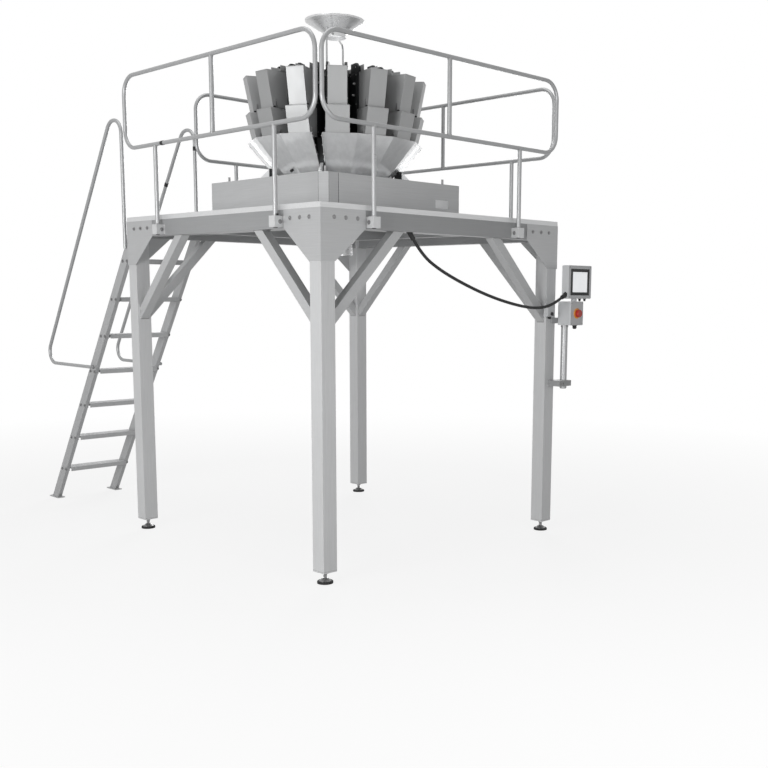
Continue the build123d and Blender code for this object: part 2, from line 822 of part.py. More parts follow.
def make_screen():
    """The operator screen on its pole, with the switch box, stop button and junction box."""
    pole = rod((pole_x, pole_y, pole_low), (pole_x, pole_y, switch_box_low), pole_radius)
    add("screen_pole", pole)
    reach = pole_radius + bracket_margin
    bracket = block(
        (beam_face - bracket_on_post, pole_x + reach), (pole_y - reach, -beam_face),
        (bracket_height, bracket_height + bracket_thickness))
    bracket -= Pos(pole_x, pole_y, bracket_height) * Cylinder(
        pole_radius + clamp_clearance, 4 * bracket_thickness)
    box_back = switch_box_front + switch_box_depth
    mount_bar = block(
        (beam_face - mount_bar_on_post, switch_box_edge + mount_bar_past_edge),
        (box_back, -beam_face), (mount_bar_low, mount_bar_low + mount_bar_height))
    add("pole_brackets", bracket, mount_bar)
    box_right = switch_box_edge + switch_box_width
    box_top = switch_box_low + switch_box_height
    switch_box = block(
        (switch_box_edge, box_right), (switch_box_front, box_back), (switch_box_low, box_top))
    switch_box = fillet(switch_box.edges().filter_by(Axis.Z), screen_round)
    knob_x = (switch_box_edge + box_right) / 2
    knob_z = (switch_box_low + box_top) / 2
    collar_front = switch_box_front - stop_collar_length
    switch_box += rod(
        (knob_x, screen_middle_y, box_top), (knob_x, screen_middle_y, screen_low), neck_radius)
    add("switch_box", switch_box)
    collar = rod(
        (knob_x, switch_box_front, knob_z), (knob_x, collar_front, knob_z), stop_collar_radius)
    head = rod(
        (knob_x, collar_front, knob_z), (knob_x, collar_front - stop_head_length, knob_z),
        stop_head_radius)
    head = fillet(head.edges().sort_by(Axis.Y)[0], stop_head_length / 3)
    add("stop_button", collar + head)
    housing = block(
        (screen_left, screen_left + screen_width),
        (switch_box_front, switch_box_front + screen_depth),
        (screen_low, screen_low + screen_height))
    housing = fillet(housing.edges().filter_by(Axis.Y), screen_round)
    pocket = block(
        (screen_left + screen_border, screen_left + screen_width - screen_border),
        (switch_box_front - glass_depth, switch_box_front + glass_depth),
        (screen_low + screen_border, screen_low + screen_height - screen_border))
    housing -= pocket
    add("screen_housing", housing)
    add("screen_glass", block(
        (screen_left + screen_border, screen_left + screen_width - screen_border),
        (switch_box_front + glass_recess, switch_box_front + glass_depth),
        (screen_low + screen_border, screen_low + screen_height - screen_border)))
    junction_right = beam_face - junction_inset
    add("junction_box", block(
        (junction_right - junction_width, junction_right),
        (-beam_face - junction_depth, -beam_face),
        (junction_low, junction_low + junction_height)))


def gland(tip, run_end, length):
    """A cable gland that ends at the tip, in line with the cable's run there."""
    back = (tip - run_end).normalized()
    nut_end = tip + back * length * gland_nut_share
    far = tip + back * length
    body = rod(tuple(tip), tuple(far), gland_radius)
    nut = hex_bar(tuple(nut_end), tuple(far), gland_nut_radius)
    return body + nut


def cable_points():
    """The corners of the cable's route between its two glands."""
    start = Vector(*cable_start)
    end = Vector(*cable_end)
    return [start + (end - start) * share + Vector(0, back, -sag) for share, back, sag in cable_hang]


def cable_bends(points):
    """The bend at each corner of the route, as large as its two runs allow."""
    bends = []
    for before, at, after in zip(points, points[1:], points[2:]):
        into = at - before
        out = after - at
        half_turn = radians(into.get_angle(out)) / 2
        bends.append(0.45 * min(into.length, out.length) / tan(half_turn))
    return bends


def make_cable():
    """The screen cable, and the glands it comes out of and goes into."""
    points = cable_points()
    bends = cable_bends(points)
    path = FilletPolyline(*points, radius=bends)
    cable = sweep(Plane(origin=path @ 0, z_dir=path % 0) * Circle(cable_radius), path=path)
    section = Circle(cable_radius).area
    print("cable points", [tuple(round(value) for value in point) for point in points])
    print("cable bends", [round(bend) for bend in bends])
    print("cable length", round(path.length), "volume over section", round(cable.volume / section))
    add("screen_cable", cable)
    above_beam = block(
        (-half_platform, half_platform), (-half_platform, half_platform), (beam_low, deck_top))
    in_screen = block(
        (screen_left, screen_left + screen_width),
        (switch_box_front, switch_box_front + screen_depth), (0, deck_top))
    beam_gland = gland(points[0], points[1], gland_length) - above_beam
    screen_gland = gland(points[-1], points[-2], gland_length) - in_screen
    add("cable_glands", beam_gland, screen_gland)


make_posts()
make_feet()
make_beams()
make_joists()
make_deck()
make_gussets()
make_braces()
make_guards()
make_ladder()
make_base()
make_discharge()
make_drum()
make_housings()
make_pans()
make_hoppers()
make_chutes()
make_infeed()
make_screen()
make_cable()

# The origin goes to the ground under the middle of the outer box
box = Compound(list(parts.values())).bounding_box()
shift = Pos(-(box.min.X + box.max.X) / 2, -(box.min.Y + box.max.Y) / 2, -box.min.Z)
os.makedirs("parts", exist_ok=True)
for name, shape in parts.items():
    export_step(shift * shape, f"parts/{name}.step")
print("platform middle at", shift.position)
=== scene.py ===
import bpy
import bmesh
from math import atan2, cos, pi, radians, sin
from mathutils import Matrix, Vector


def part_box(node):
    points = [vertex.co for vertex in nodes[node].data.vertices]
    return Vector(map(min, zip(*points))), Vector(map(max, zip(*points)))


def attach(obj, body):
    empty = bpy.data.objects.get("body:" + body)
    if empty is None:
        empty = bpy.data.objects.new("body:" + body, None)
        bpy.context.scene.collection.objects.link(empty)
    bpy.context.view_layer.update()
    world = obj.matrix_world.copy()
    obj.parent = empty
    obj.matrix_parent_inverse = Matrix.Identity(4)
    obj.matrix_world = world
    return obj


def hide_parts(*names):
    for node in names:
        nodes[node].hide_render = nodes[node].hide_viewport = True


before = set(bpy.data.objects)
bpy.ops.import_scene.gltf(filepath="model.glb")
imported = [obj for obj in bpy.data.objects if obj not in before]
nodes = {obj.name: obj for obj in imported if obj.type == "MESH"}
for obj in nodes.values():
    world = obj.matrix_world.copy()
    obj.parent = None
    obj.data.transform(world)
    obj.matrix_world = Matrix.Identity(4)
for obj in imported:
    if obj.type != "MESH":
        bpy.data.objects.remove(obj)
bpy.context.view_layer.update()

# Sizes are in millimetres from the middle of the platform, as the part's own source lays them out,
# and each piece is turned into metres in the shared frame when its mesh is made.
deck_low_corner, deck_high_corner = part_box("deck_plate")
MIDDLE = (deck_low_corner + deck_high_corner) / 2
MIDDLE.z = 0
SCALE = Matrix.Translation(MIDDLE) @ Matrix.Scale(0.001, 4)

DECK_TOP = 2200
BEAM_FACE = 1057
BEAM_INNER = 977
BEAM_TOP = 2195
BEAM_LOW = 2065
GUSSET_FACE = 1062
POST_CENTRE = 1007
POST_INNER = 957
RAIL_PLANE = 1092
RAIL_TOP = 3120
RAIL_LOW = 2650
RAIL_RADIUS = 13
UPRIGHT_RADIUS = 14
CLAMP_LOW = 2070
CLAMP_TOP = 2135
WEIGHER_X = -33
WEIGHER_Y = 33
BASE_HALF = 625
BASE_TOP = 2434
HEADS = 14
PITCH = 360 / HEADS
COLUMN_ANGLES = (1.5 * PITCH, 180 - 1.5 * PITCH, 180 + 1.5 * PITCH, 360 - 1.5 * PITCH)
SIDES = {"front": 0, "right": 90, "back": 180, "left": 270}
FRONT = (0, -1, 0)
UP = Vector((0, 0, 1))
SQUARE = ((-1, -1), (1, -1), (1, 1), (-1, 1))


def turn(angle):
    return Matrix.Rotation(radians(angle), 4, "Z")


def move(x, y, z):
    return Matrix.Translation((x, y, z))


WEIGHER = move(WEIGHER_X, WEIGHER_Y, 0)


def facing(point, normal):
    """A place whose local Z points along the normal and whose local Y is as near to up as it can be."""
    z = Vector(normal).normalized()
    x = UP.cross(z).normalized()
    y = z.cross(x)
    place = Matrix((x, y, z)).transposed().to_4x4()
    place.translation = Vector(point)
    return place


def lathe(profile, steps):
    """Points and faces of an outline of radius and height turned about local Z, low end first."""
    points, rings = [], []
    for radius, height in profile:
        if radius <= 0:
            rings.append([len(points)])
            points.append(Vector((0, 0, height)))
            continue
        rings.append(list(range(len(points), len(points) + steps)))
        for step in range(steps):
            angle = 2 * pi * step / steps
            points.append(Vector((radius * cos(angle), radius * sin(angle), height)))
    faces = []
    for low, high in zip(rings, rings[1:]):
        if len(low) == 1 and len(high) == 1:
            continue
        for step in range(steps):
            after = (step + 1) % steps
            if len(low) == 1:
                faces.append((low[0], high[after], high[step]))
            elif len(high) == 1:
                faces.append((low[step], low[after], high[0]))
            else:
                faces.append((low[step], low[after], high[after], high[step]))
    return points, faces


def ring(major, minor, steps, sides):
    """A round bar bent into a ring about local Z."""
    points, faces = [], []
    for step in range(steps):
        angle = 2 * pi * step / steps
        for side in range(sides):
            turned = 2 * pi * side / sides
            reach = major + minor * cos(turned)
            points.append(Vector((reach * cos(angle), reach * sin(angle), minor * sin(turned))))
    for step in range(steps):
        for side in range(sides):
            a, b = step * sides, ((step + 1) % steps) * sides
            next_side = (side + 1) % sides
            faces.append((a + side, b + side, b + next_side, a + next_side))
    return points, faces


def sheet_piece(outline, thickness, edge=0.0):
    """A flat outline in local X and Y, thickened along local Z from zero, with its rim rounded."""
    mesh = bmesh.new()
    low = [mesh.verts.new((x, y, 0)) for x, y in outline]
    face = mesh.faces.new(low)
    face.normal_update()
    if face.normal.z > 0:
        face.normal_flip()
    raised = bmesh.ops.extrude_face_region(mesh, geom=[face])["geom"]
    moved = [item for item in raised if isinstance(item, bmesh.types.BMVert)]
    bmesh.ops.translate(mesh, verts=moved, vec=(0, 0, thickness))
    if edge:
        rim = [e for e in mesh.edges if all(abs(v.co.z - thickness) < 1e-6 for v in e.verts)]
        bmesh.ops.bevel(mesh, geom=rim, offset=edge, segments=2, affect="EDGES", profile=0.5)
    bmesh.ops.recalc_face_normals(mesh, faces=mesh.faces[:])
    mesh.verts.index_update()
    points = [vertex.co.copy() for vertex in mesh.verts]
    faces = [tuple(vertex.index for vertex in face.verts) for face in mesh.faces]
    mesh.free()
    return points, faces


def bar_along(path, radius, sides, rounded_ends=True):
    """A round bar through a list of points, with domed ends."""
    path = [Vector(point) for point in path]
    tangents = []
    for index in range(len(path)):
        before = path[max(index - 1, 0)]
        after = path[min(index + 1, len(path) - 1)]
        tangents.append((after - before).normalized())
    side = tangents[0].orthogonal().normalized()
    rings = []
    for point, tangent in zip(path, tangents):
        side = (side - tangent * side.dot(tangent)).normalized()
        other = tangent.cross(side)
        rings.append((point, side.copy(), other, radius))
    if rounded_ends:
        first, last = rings[0], rings[-1]
        dome, rim = radius * 0.35, radius * 0.72
        rings.insert(0, (first[0] - tangents[0] * dome, first[1], first[2], rim))
        rings.append((last[0] + tangents[-1] * dome, last[1], last[2], rim))
    points, faces = [], []
    for point, across, other, size in rings:
        for step in range(sides):
            angle = 2 * pi * step / sides
            points.append(point + (across * cos(angle) + other * sin(angle)) * size)
    for index in range(len(rings) - 1):
        a, b = index * sides, (index + 1) * sides
        for step in range(sides):
            after = (step + 1) % sides
            faces.append((a + step, a + after, b + after, b + step))
    faces.append(tuple(reversed(range(sides))))
    faces.append(tuple(range(len(points) - sides, len(points))))
    return points, faces


class Group:
    """Mesh pieces gathered into one object."""

    def __init__(self):
        self.points, self.faces = [], []

    def add(self, part, place=Matrix.Identity(4)):
        points, faces = part
        base = len(self.points)
        flip = place.determinant() < 0
        self.points += [SCALE @ (place @ point) for point in points]
        for face in faces:
            corner = tuple(base + index for index in face)
            self.faces.append(tuple(reversed(corner)) if flip else corner)

    def build(self, name, material, smooth):
        """Make the object, smooth wherever neighbouring faces turn by less than that many degrees."""
        mesh = bpy.data.meshes.new(name)
        mesh.from_pydata(self.points, [], self.faces)
        mesh.materials.append(material)
        mesh.validate()
        mesh.update()
        piece = bpy.data.objects.new(name, mesh)
        bpy.context.scene.collection.objects.link(piece)
        for polygon in mesh.polygons:
            polygon.use_smooth = True
        work = bmesh.new()
        work.from_mesh(mesh)
        for edge in work.edges:
            edge.smooth = len(edge.link_faces) == 2 and edge.calc_face_angle(0) < radians(smooth)
        work.to_mesh(mesh)
        work.free()
        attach(piece, "root")


# Materials, with their lengths in metres
BUMP_DISTANCE = 0.0003


def new_material(name):
    material = bpy.data.materials.new(name)
    material.use_nodes = True
    tree = material.node_tree
    return material, tree, tree.nodes["Principled BSDF"]


def noise(tree, scale, stretch, detail, roughness):
    """Noise over the object's own coordinates, stretched along one or two axes for grain."""
    coords = tree.nodes.new("ShaderNodeTexCoord")
    mapping = tree.nodes.new("ShaderNodeMapping")
    mapping.inputs["Scale"].default_value = stretch
    texture = tree.nodes.new("ShaderNodeTexNoise")
    texture.inputs["Scale"].default_value = scale
    texture.inputs["Detail"].default_value = detail
    texture.inputs["Roughness"].default_value = roughness
    tree.links.new(coords.outputs["Object"], mapping.inputs["Vector"])
    tree.links.new(mapping.outputs["Vector"], texture.inputs["Vector"])
    return texture.outputs["Fac"]


def remap(tree, value, low, high, from_low=0.3, from_high=0.7):
    node = tree.nodes.new("ShaderNodeMapRange")
    node.inputs["From Min"].default_value = from_low
    node.inputs["From Max"].default_value = from_high
    node.inputs["To Min"].default_value = low
    node.inputs["To Max"].default_value = high
    tree.links.new(value, node.inputs["Value"])
    return node.outputs["Result"]


def math_node(tree, operation, first, second):
    node = tree.nodes.new("ShaderNodeMath")
    node.operation = operation
    tree.links.new(first, node.inputs[0])
    tree.links.new(second, node.inputs[1])
    return node.outputs[0]


def mix_colour(tree, share, first, second):
    node = tree.nodes.new("ShaderNodeMix")
    node.data_type = "RGBA"
    for name, value in (("A", first), ("B", second)):
        socket = [s for s in node.inputs if s.name == name and s.type == "RGBA"][0]
        if isinstance(value, tuple):
            socket.default_value = (*value, 1)
        else:
            tree.links.new(value, socket)
    tree.links.new(share, node.inputs["Factor"])
    return [s for s in node.outputs if s.type == "RGBA"][0]


def edge_highlight(tree, radius, gain):
    """One where the surface turns within the radius, zero on flat ground, with the rounded normal; the one is
    the mask of a painted highlight along the edges.
    """
    bevel = tree.nodes.new("ShaderNodeBevel")
    bevel.samples = 4
    bevel.inputs["Radius"].default_value = radius
    geometry = tree.nodes.new("ShaderNodeNewGeometry")
    dot = tree.nodes.new("ShaderNodeVectorMath")
    dot.operation = "DOT_PRODUCT"
    tree.links.new(bevel.outputs["Normal"], dot.inputs[0])
    tree.links.new(geometry.outputs["Normal"], dot.inputs[1])
    highlight_mask = remap(tree, dot.outputs["Value"], gain, 0.0, 0.7, 0.99)
    return highlight_mask, bevel.outputs["Normal"]


def bump(tree, height, strength, normal):
    node = tree.nodes.new("ShaderNodeBump")
    node.inputs["Strength"].default_value = strength
    node.inputs["Distance"].default_value = BUMP_DISTANCE
    tree.links.new(height, node.inputs["Height"])
    tree.links.new(normal, node.inputs["Normal"])
    return node.outputs["Normal"]


def scaled(tone, factor, lift=0.0):
    return tuple(min(1.0, channel * factor + lift) for channel in tone)


def steel(name, tone, stretch, rough=0.38, metallic=0.45, contrast=0.07, highlight_gain=0.5, edge=0.0025,
          stain=0.05, relief=0.05, spread=0.05, detail=5.0):
    """Brushed stainless steel: stretched grain, soft cloudy variation and a painted highlight lightening the
    edges.
    """
    material, tree, shader = new_material(name)
    grain = noise(tree, 1.0, stretch, detail, 0.65)
    clouds = noise(tree, 3.1, (1, 1, 1), 3.0, 0.5)
    smears = noise(tree, 11.0, (1, 1, 0.25), 5.0, 0.6)
    dark = scaled(tone, 1 - contrast)
    light = scaled(tone, 1 + contrast)
    base = mix_colour(tree, remap(tree, grain, 0.0, 1.0), dark, light)
    clouded = mix_colour(tree, remap(tree, clouds, 0.0, 0.3), base, scaled(dark, 1 - stain))
    highlight_mask, round_normal = edge_highlight(tree, edge, highlight_gain)
    # Painted highlight: the edges are lightened to 1.3 times the light tone.
    edged = mix_colour(tree, highlight_mask, clouded, scaled(light, 1.3))
    tree.links.new(edged, shader.inputs["Base Color"])
    shader.inputs["Metallic"].default_value = metallic
    gloss = math_node(tree, "ADD", remap(tree, grain, rough - spread, rough + spread),
                      remap(tree, smears, -spread, spread))
    tree.links.new(gloss, shader.inputs["Roughness"])
    tree.links.new(bump(tree, grain, relief, round_normal), shader.inputs["Normal"])
    return material


def coated(name, tone, rough=0.45, specular=0.4, contrast=0.15, scale=60.0, grit=0.15, highlight_gain=0.3,
           highlight_tone=None, edge=0.002):
    """Paint, moulded plastic or rubber: fine grit, faint dust and a painted highlight lightening the edges.
    """
    material, tree, shader = new_material(name)
    fine = noise(tree, scale * 6, (1, 1, 1), 3.0, 0.6)
    clouds = noise(tree, scale / 12, (1, 1, 1), 4.0, 0.55)
    base = mix_colour(tree, remap(tree, clouds, 0.0, 1.0), scaled(tone, 1 - contrast),
                      scaled(tone, 1 + contrast))
    highlight_mask, round_normal = edge_highlight(tree, edge, highlight_gain)
    # Painted highlight: the edges are lightened toward this tone.
    lifted = highlight_tone or scaled(tone, 1.6, 0.01)
    tree.links.new(mix_colour(tree, highlight_mask, base, lifted), shader.inputs["Base Color"])
    gloss = math_node(tree, "ADD", remap(tree, clouds, rough - 0.06, rough + 0.06),
                      remap(tree, fine, -0.03, 0.03))
    tree.links.new(gloss, shader.inputs["Roughness"])
    shader.inputs["Specular IOR Level"].default_value = specular
    tree.links.new(bump(tree, fine, grit, round_normal), shader.inputs["Normal"])
    return material


post_steel = steel("post_steel", (0.64, 0.645, 0.65), (260, 260, 5), metallic=0.18, rough=0.42, edge=0.0012)
gusset_steel = steel("gusset_steel", (0.5, 0.505, 0.51), (5, 5, 240), metallic=0.35, rough=0.42, edge=0.001)
beam_steel = steel("beam_steel", (0.34, 0.345, 0.35), (4, 4, 260), metallic=0.12, rough=0.42, edge=0.0012)
brace_steel = steel("brace_steel", (0.54, 0.545, 0.55), (120, 120, 120), metallic=0.15, contrast=0.05,
                    edge=0.001)
deck_steel = steel("deck_steel", (0.7, 0.705, 0.71), (9, 140, 140), rough=0.42, edge=0.001)
ladder_steel = steel("ladder_steel", (0.48, 0.485, 0.49), (200, 200, 8), metallic=0.2, rough=0.42, edge=0.001)
tube_steel = steel("tube_steel", (0.4, 0.405, 0.41), (90, 90, 90), rough=0.34, metallic=0.35, contrast=0.04,
                   edge=0.0006)
hopper_steel = steel("hopper_steel", (0.38, 0.384, 0.386), (420, 420, 12), rough=0.44, metallic=0.5,
                     contrast=0.04, edge=0.0006)
chute_steel = steel("chute_steel", (0.8, 0.805, 0.81), (26, 26, 1.6), rough=0.22, metallic=0.6, contrast=0.07,
                    edge=0.0006, relief=0.004, spread=0.02, detail=2.0)
base_steel = steel("base_steel", (0.49, 0.495, 0.5), (5, 5, 220), rough=0.42, metallic=0.2, edge=0.001)
funnel_steel = steel("funnel_steel", (0.74, 0.745, 0.75), (8, 8, 60), rough=0.3, metallic=0.5, contrast=0.03,
                     edge=0.0006)
clamp_steel = steel("clamp_steel", (0.66, 0.665, 0.67), (60, 60, 60), rough=0.36, metallic=0.3, contrast=0.04,
                    edge=0.0008, relief=0.01, detail=2.0)
bolt_steel = steel("bolt_steel", (0.26, 0.26, 0.262), (300, 300, 300), rough=0.34, metallic=0.7, edge=0.0005)
weld_steel = steel("weld_steel", (0.36, 0.36, 0.36), (500, 500, 500), rough=0.45, metallic=0.5, contrast=0.2,
                   edge=0.0005)
seam_steel = steel("seam_steel", (0.1, 0.1, 0.102), (200, 200, 200), rough=0.6, metallic=0.2, edge=0.0005)
black_casting = coated("black_casting", (0.014, 0.015, 0.016), rough=0.5, specular=0.2)
black_plastic = coated("black_plastic", (0.02, 0.02, 0.021), rough=0.5, specular=0.3, scale=90)
rubber = coated("rubber", (0.03, 0.03, 0.031), rough=0.75, specular=0.25, scale=80, grit=0.3)
cable_rubber = coated("cable_rubber", (0.018, 0.018, 0.019), rough=0.55, specular=0.3, scale=120, grit=0.1,
                      edge=0.0005)
# The lighter edge tones given below are the painted highlight on the edges.
panel_paint = coated("panel_paint", (0.62, 0.63, 0.64), rough=0.4, specular=0.4, contrast=0.03, grit=0.2,
                     highlight_gain=0.15, highlight_tone=(0.75, 0.76, 0.77))
bare_paint = coated("bare_paint", (0.78, 0.785, 0.79), rough=0.4, contrast=0.02, grit=0.1, highlight_gain=0.1,
                    highlight_tone=(0.85, 0.85, 0.85))
stop_red = coated("stop_red", (0.5, 0.025, 0.012), rough=0.3, specular=0.5, contrast=0.08, grit=0.05,
                  highlight_gain=0.2, highlight_tone=(0.7, 0.12, 0.06))
stop_amber = coated("stop_amber", (0.8, 0.33, 0.05), rough=0.4, contrast=0.05, grit=0.05, highlight_gain=0.1,
                    highlight_tone=(0.9, 0.5, 0.2))


def display_material():
    """A pale lit display: a soft sheen, with very faint cloudiness instead of any picture."""
    material, tree, shader = new_material("display")
    clouds = noise(tree, 9.0, (1, 1, 1), 2.0, 0.4)
    colour = mix_colour(tree, remap(tree, clouds, 0.0, 1.0), (0.86, 0.88, 0.9), (0.92, 0.93, 0.94))
    tree.links.new(colour, shader.inputs["Base Color"])
    tree.links.new(remap(tree, clouds, 0.12, 0.2), shader.inputs["Roughness"])
    shader.inputs["Specular IOR Level"].default_value = 0.5
    tree.links.new(colour, shader.inputs["Emission Color"])
    shader.inputs["Emission Strength"].default_value = 0.45
    return material


display = display_material()

finishes = {
    "platform_legs": post_steel, "platform_beams": beam_steel, "deck_joists": beam_steel,
    "deck_trimmers": beam_steel, "knee_braces": brace_steel, "corner_gussets": gusset_steel,
    "ladder_stringers": ladder_steel, "guard_post_clamps": clamp_steel, "pole_brackets": beam_steel,
    "deck_plate": deck_steel, "ladder_treads": ladder_steel,
    "front_guard_rail": tube_steel, "back_guard_rail": tube_steel, "left_guard_rail": tube_steel,
    "right_guard_rail": tube_steel, "ladder_handrails": tube_steel, "screen_pole": tube_steel,
    "infeed_rods": tube_steel, "weigher_base": base_steel, "column_feet": funnel_steel,
    "discharge_funnel": funnel_steel, "infeed_funnel": funnel_steel, "pool_hoppers": hopper_steel,
    "pool_hopper_gates": hopper_steel, "weigh_hoppers": hopper_steel,
    "weigh_hopper_gates": hopper_steel, "feeder_pans": hopper_steel, "dispersion_cone": funnel_steel,
    "front_collecting_chute": chute_steel, "back_collecting_chute": chute_steel,
    "left_collecting_chute": chute_steel, "right_collecting_chute": chute_steel,
    "central_body": black_casting, "drive_housings": black_casting, "support_columns": black_casting,
    "foot_stems": bolt_steel, "base_studs": bolt_steel, "foot_pads": rubber,
    "screen_housing": panel_paint, "switch_box": panel_paint, "junction_box": panel_paint,
    "screen_glass": display, "stop_button": stop_red, "cable_glands": black_plastic,
    "screen_cable": cable_rubber,
}
for name, material in finishes.items():
    mesh = nodes[name].data
    mesh.materials.clear()
    mesh.materials.append(material)


# Camera, at the place worked out from the platform's corners in the photograph. The frame is a
# square of the photograph round the weigher, given in its pixels.
PHOTO_FOCUS = 480.82
PHOTO_CENTRE = (550.77, 421.80)
VIEW_CENTRE = (520, 393)
VIEW_SIZE = 358
CAMERA_PLACE = Vector((-4.7656, -5.6363, 1.7062))
CAMERA_DIRECTION = Vector((0.71294, 0.68562, -0.14708))
CAMERA_ROLL = 0.0087
SENSOR_WIDTH = 36
camera_data = bpy.data.cameras.new("camera")
camera = bpy.data.objects.new("camera", camera_data)
bpy.context.scene.collection.objects.link(camera)
bpy.context.scene.camera = camera
forward = CAMERA_DIRECTION.normalized()
right = forward.cross(UP).normalized()
up = right.cross(forward)
rolled_right = right * cos(CAMERA_ROLL) + up * sin(CAMERA_ROLL)
rolled_up = up * cos(CAMERA_ROLL) - right * sin(CAMERA_ROLL)
pose = Matrix((rolled_right, rolled_up, -forward)).transposed().to_4x4()
pose.translation = MIDDLE + CAMERA_PLACE
camera.matrix_world = pose
camera_data.sensor_width = SENSOR_WIDTH
camera_data.lens = SENSOR_WIDTH * PHOTO_FOCUS / VIEW_SIZE
camera_data.shift_x = (VIEW_CENTRE[0] - PHOTO_CENTRE[0]) / VIEW_SIZE
camera_data.shift_y = (PHOTO_CENTRE[1] - VIEW_CENTRE[1]) / VIEW_SIZE
camera_data.clip_end = 100

# Screen cable: the route's points as the part's source gives them
cable_points = [
    (-310, -1025, 2025), (-244.5, -1034.8, 1935.7), (-130.5, -1055.5, 1854.5), (59.4, -1075.1, 1770.1),
    (300.5, -1093.9, 1687.3), (540.2, -1111.6, 1629.8), (740.6, -1130.3, 1601.7),
    (895.2, -1155.2, 1619.8), (1000, -1160, 1678),
]
cable_curve = bpy.data.curves.new("screen_cable_run", "CURVE")
cable_curve.dimensions = "3D"
cable_curve.resolution_u = 12
cable_curve.bevel_depth = 0.01
cable_curve.bevel_resolution = 5
cable_curve.use_fill_caps = True
spline = cable_curve.splines.new("NURBS")
spline.points.add(len(cable_points) - 1)
for control, point in zip(spline.points, cable_points):
    control.co = (*(SCALE @ Vector(point)), 1)
spline.order_u = 3
spline.use_endpoint_u = True
cable_curve.materials.append(cable_rubber)
cable = bpy.data.objects.new("screen_cable_run", cable_curve)
bpy.context.scene.collection.objects.link(cable)
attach(cable, "root")
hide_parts("screen_cable")


# Detail pieces
WASHER = 2


def hex_bolt(across, height):
    """A hex head with a chamfered crown, standing on its washer."""
    size = across / 2 / cos(pi / 6)
    crown = WASHER + height
    head = lathe([(0, WASHER), (size * 0.95, WASHER), (size, WASHER + 0.5), (size, crown - 0.7),
                  (size * 0.85, crown), (0, crown)], 6)
    washer = lathe([(across, 0), (across, WASHER - 0.5), (across * 0.94, WASHER), (0, WASHER)], 20)
    points = head[0] + washer[0]
    return points, head[1] + [tuple(len(head[0]) + index for index in face) for face in washer[1]]


def screw_head(radius, height):
    """A low domed screw head with a round socket sunk in it."""
    return lathe([(radius, 0), (radius, height * 0.4), (radius * 0.8, height * 0.85), (radius * 0.5, height),
                  (radius * 0.42, height * 0.4), (0, height * 0.35)], 18)


def weld_ring(major, minor=2.4):
    """A rippled bead round a tube."""
    points, faces = ring(major, minor, 48, 6)
    rippled = []
    for point in points:
        angle = atan2(point.y, point.x)
        swell = 1 + 0.012 * sin(24 * angle) + 0.006 * sin(7 * angle)
        rippled.append(Vector((point.x * swell, point.y * swell, point.z * (1 + 0.2 * sin(24 * angle)))))
    return rippled, faces


def weld_line(start, end, radius=2.6):
    """A rippled bead along a straight joint."""
    start, end = Vector(start), Vector(end)
    count = max(4, int((end - start).length / 5))
    points, faces = bar_along([start.lerp(end, k / count) for k in range(count + 1)], radius, 6)
    axis = (end - start).normalized()
    swollen = []
    for index, point in enumerate(points):
        along = (point - start).dot(axis)
        spine = start + axis * along
        swollen.append(spine + (point - spine) * (1 + 0.18 * sin(along * 1.3 + index % 6)))
    return swollen, faces


def weld_loop(corners, radius=2.6):
    for start, end in zip(corners, corners[1:] + corners[:1]):
        welds.add(weld_line(start, end, radius))


def frame_piece(outer, inner, thickness, edge):
    """A flat frame about the origin, thickened along local Z, with its front edges rounded."""
    ox, oy = outer[0] / 2, outer[1] / 2
    ix, iy = inner[0] / 2, inner[1] / 2
    loops = [(ox, oy, 0), (ox, oy, thickness - edge), (ox - edge, oy - edge, thickness),
             (ix + edge, iy + edge, thickness), (ix, iy, thickness - edge), (ix, iy, 0)]
    points, faces = [], []
    for x, y, z in loops:
        points += [Vector((sx * x, sy * y, z)) for sx, sy in SQUARE]
    for loop in range(len(loops) - 1):
        for side in range(4):
            a, b = loop * 4 + side, loop * 4 + (side + 1) % 4
            faces.append((a, b, b + 4, a + 4))
    last = len(points) - 4
    for side in range(4):
        after = (side + 1) % 4
        faces.append((last + side, last + after, after, side))
    return points, faces


bolts = Group()
welds = Group()
dark = Group()
frame_bolt = hex_bolt(13, 7)
light_bolt = hex_bolt(13, 6)
SIDE_TURNS = [turn(angle) for angle in SIDES.values()]

# Corner gussets: three bolts at each end of every side
GUSSET_BOLTS, GUSSET_BOLT_HEIGHT = (963, 878, 789), 2120
for side in SIDE_TURNS:
    for sign in (-1, 1):
        for x in GUSSET_BOLTS:
            bolts.add(frame_bolt, side @ facing((sign * x, -GUSSET_FACE, GUSSET_BOLT_HEIGHT), FRONT))

# Braces, beams and posts: weld beads at their joints
BRACE_LOW, BRACE_CUT, BRACE_TIP, BRACE_OUTER, BRACE_INNER = 1505, 84.9, 397, 1037, 977
JOINT_PLANE = POST_INNER - 1


def brace_beads(side, sign):
    """Beads where a brace meets its post and its beam, and where the beam meets the post."""
    def spot(x, y, z):
        return side @ Vector((sign * x, y, z))
    high, tip = BRACE_LOW + BRACE_CUT, BRACE_TIP + BRACE_CUT
    weld_loop([spot(JOINT_PLANE, y, z) for y, z in (
        (-BRACE_OUTER, BRACE_LOW), (-BRACE_OUTER, high), (-BRACE_INNER, high), (-BRACE_INNER, BRACE_LOW))])
    weld_loop([spot(x, y, BEAM_LOW - 1) for x, y in (
        (BRACE_TIP, -BRACE_OUTER), (tip, -BRACE_OUTER), (tip, -BRACE_INNER), (BRACE_TIP, -BRACE_INNER))])
    inner_corner = spot(JOINT_PLANE, -BEAM_INNER, BEAM_LOW)
    welds.add(weld_line(spot(JOINT_PLANE, 2 - BEAM_FACE, BEAM_LOW), inner_corner))
    welds.add(weld_line(inner_corner, spot(JOINT_PLANE, -BEAM_INNER, BEAM_TOP - 4)))


for side in SIDE_TURNS:
    for sign in (-1, 1):
        brace_beads(side, sign)

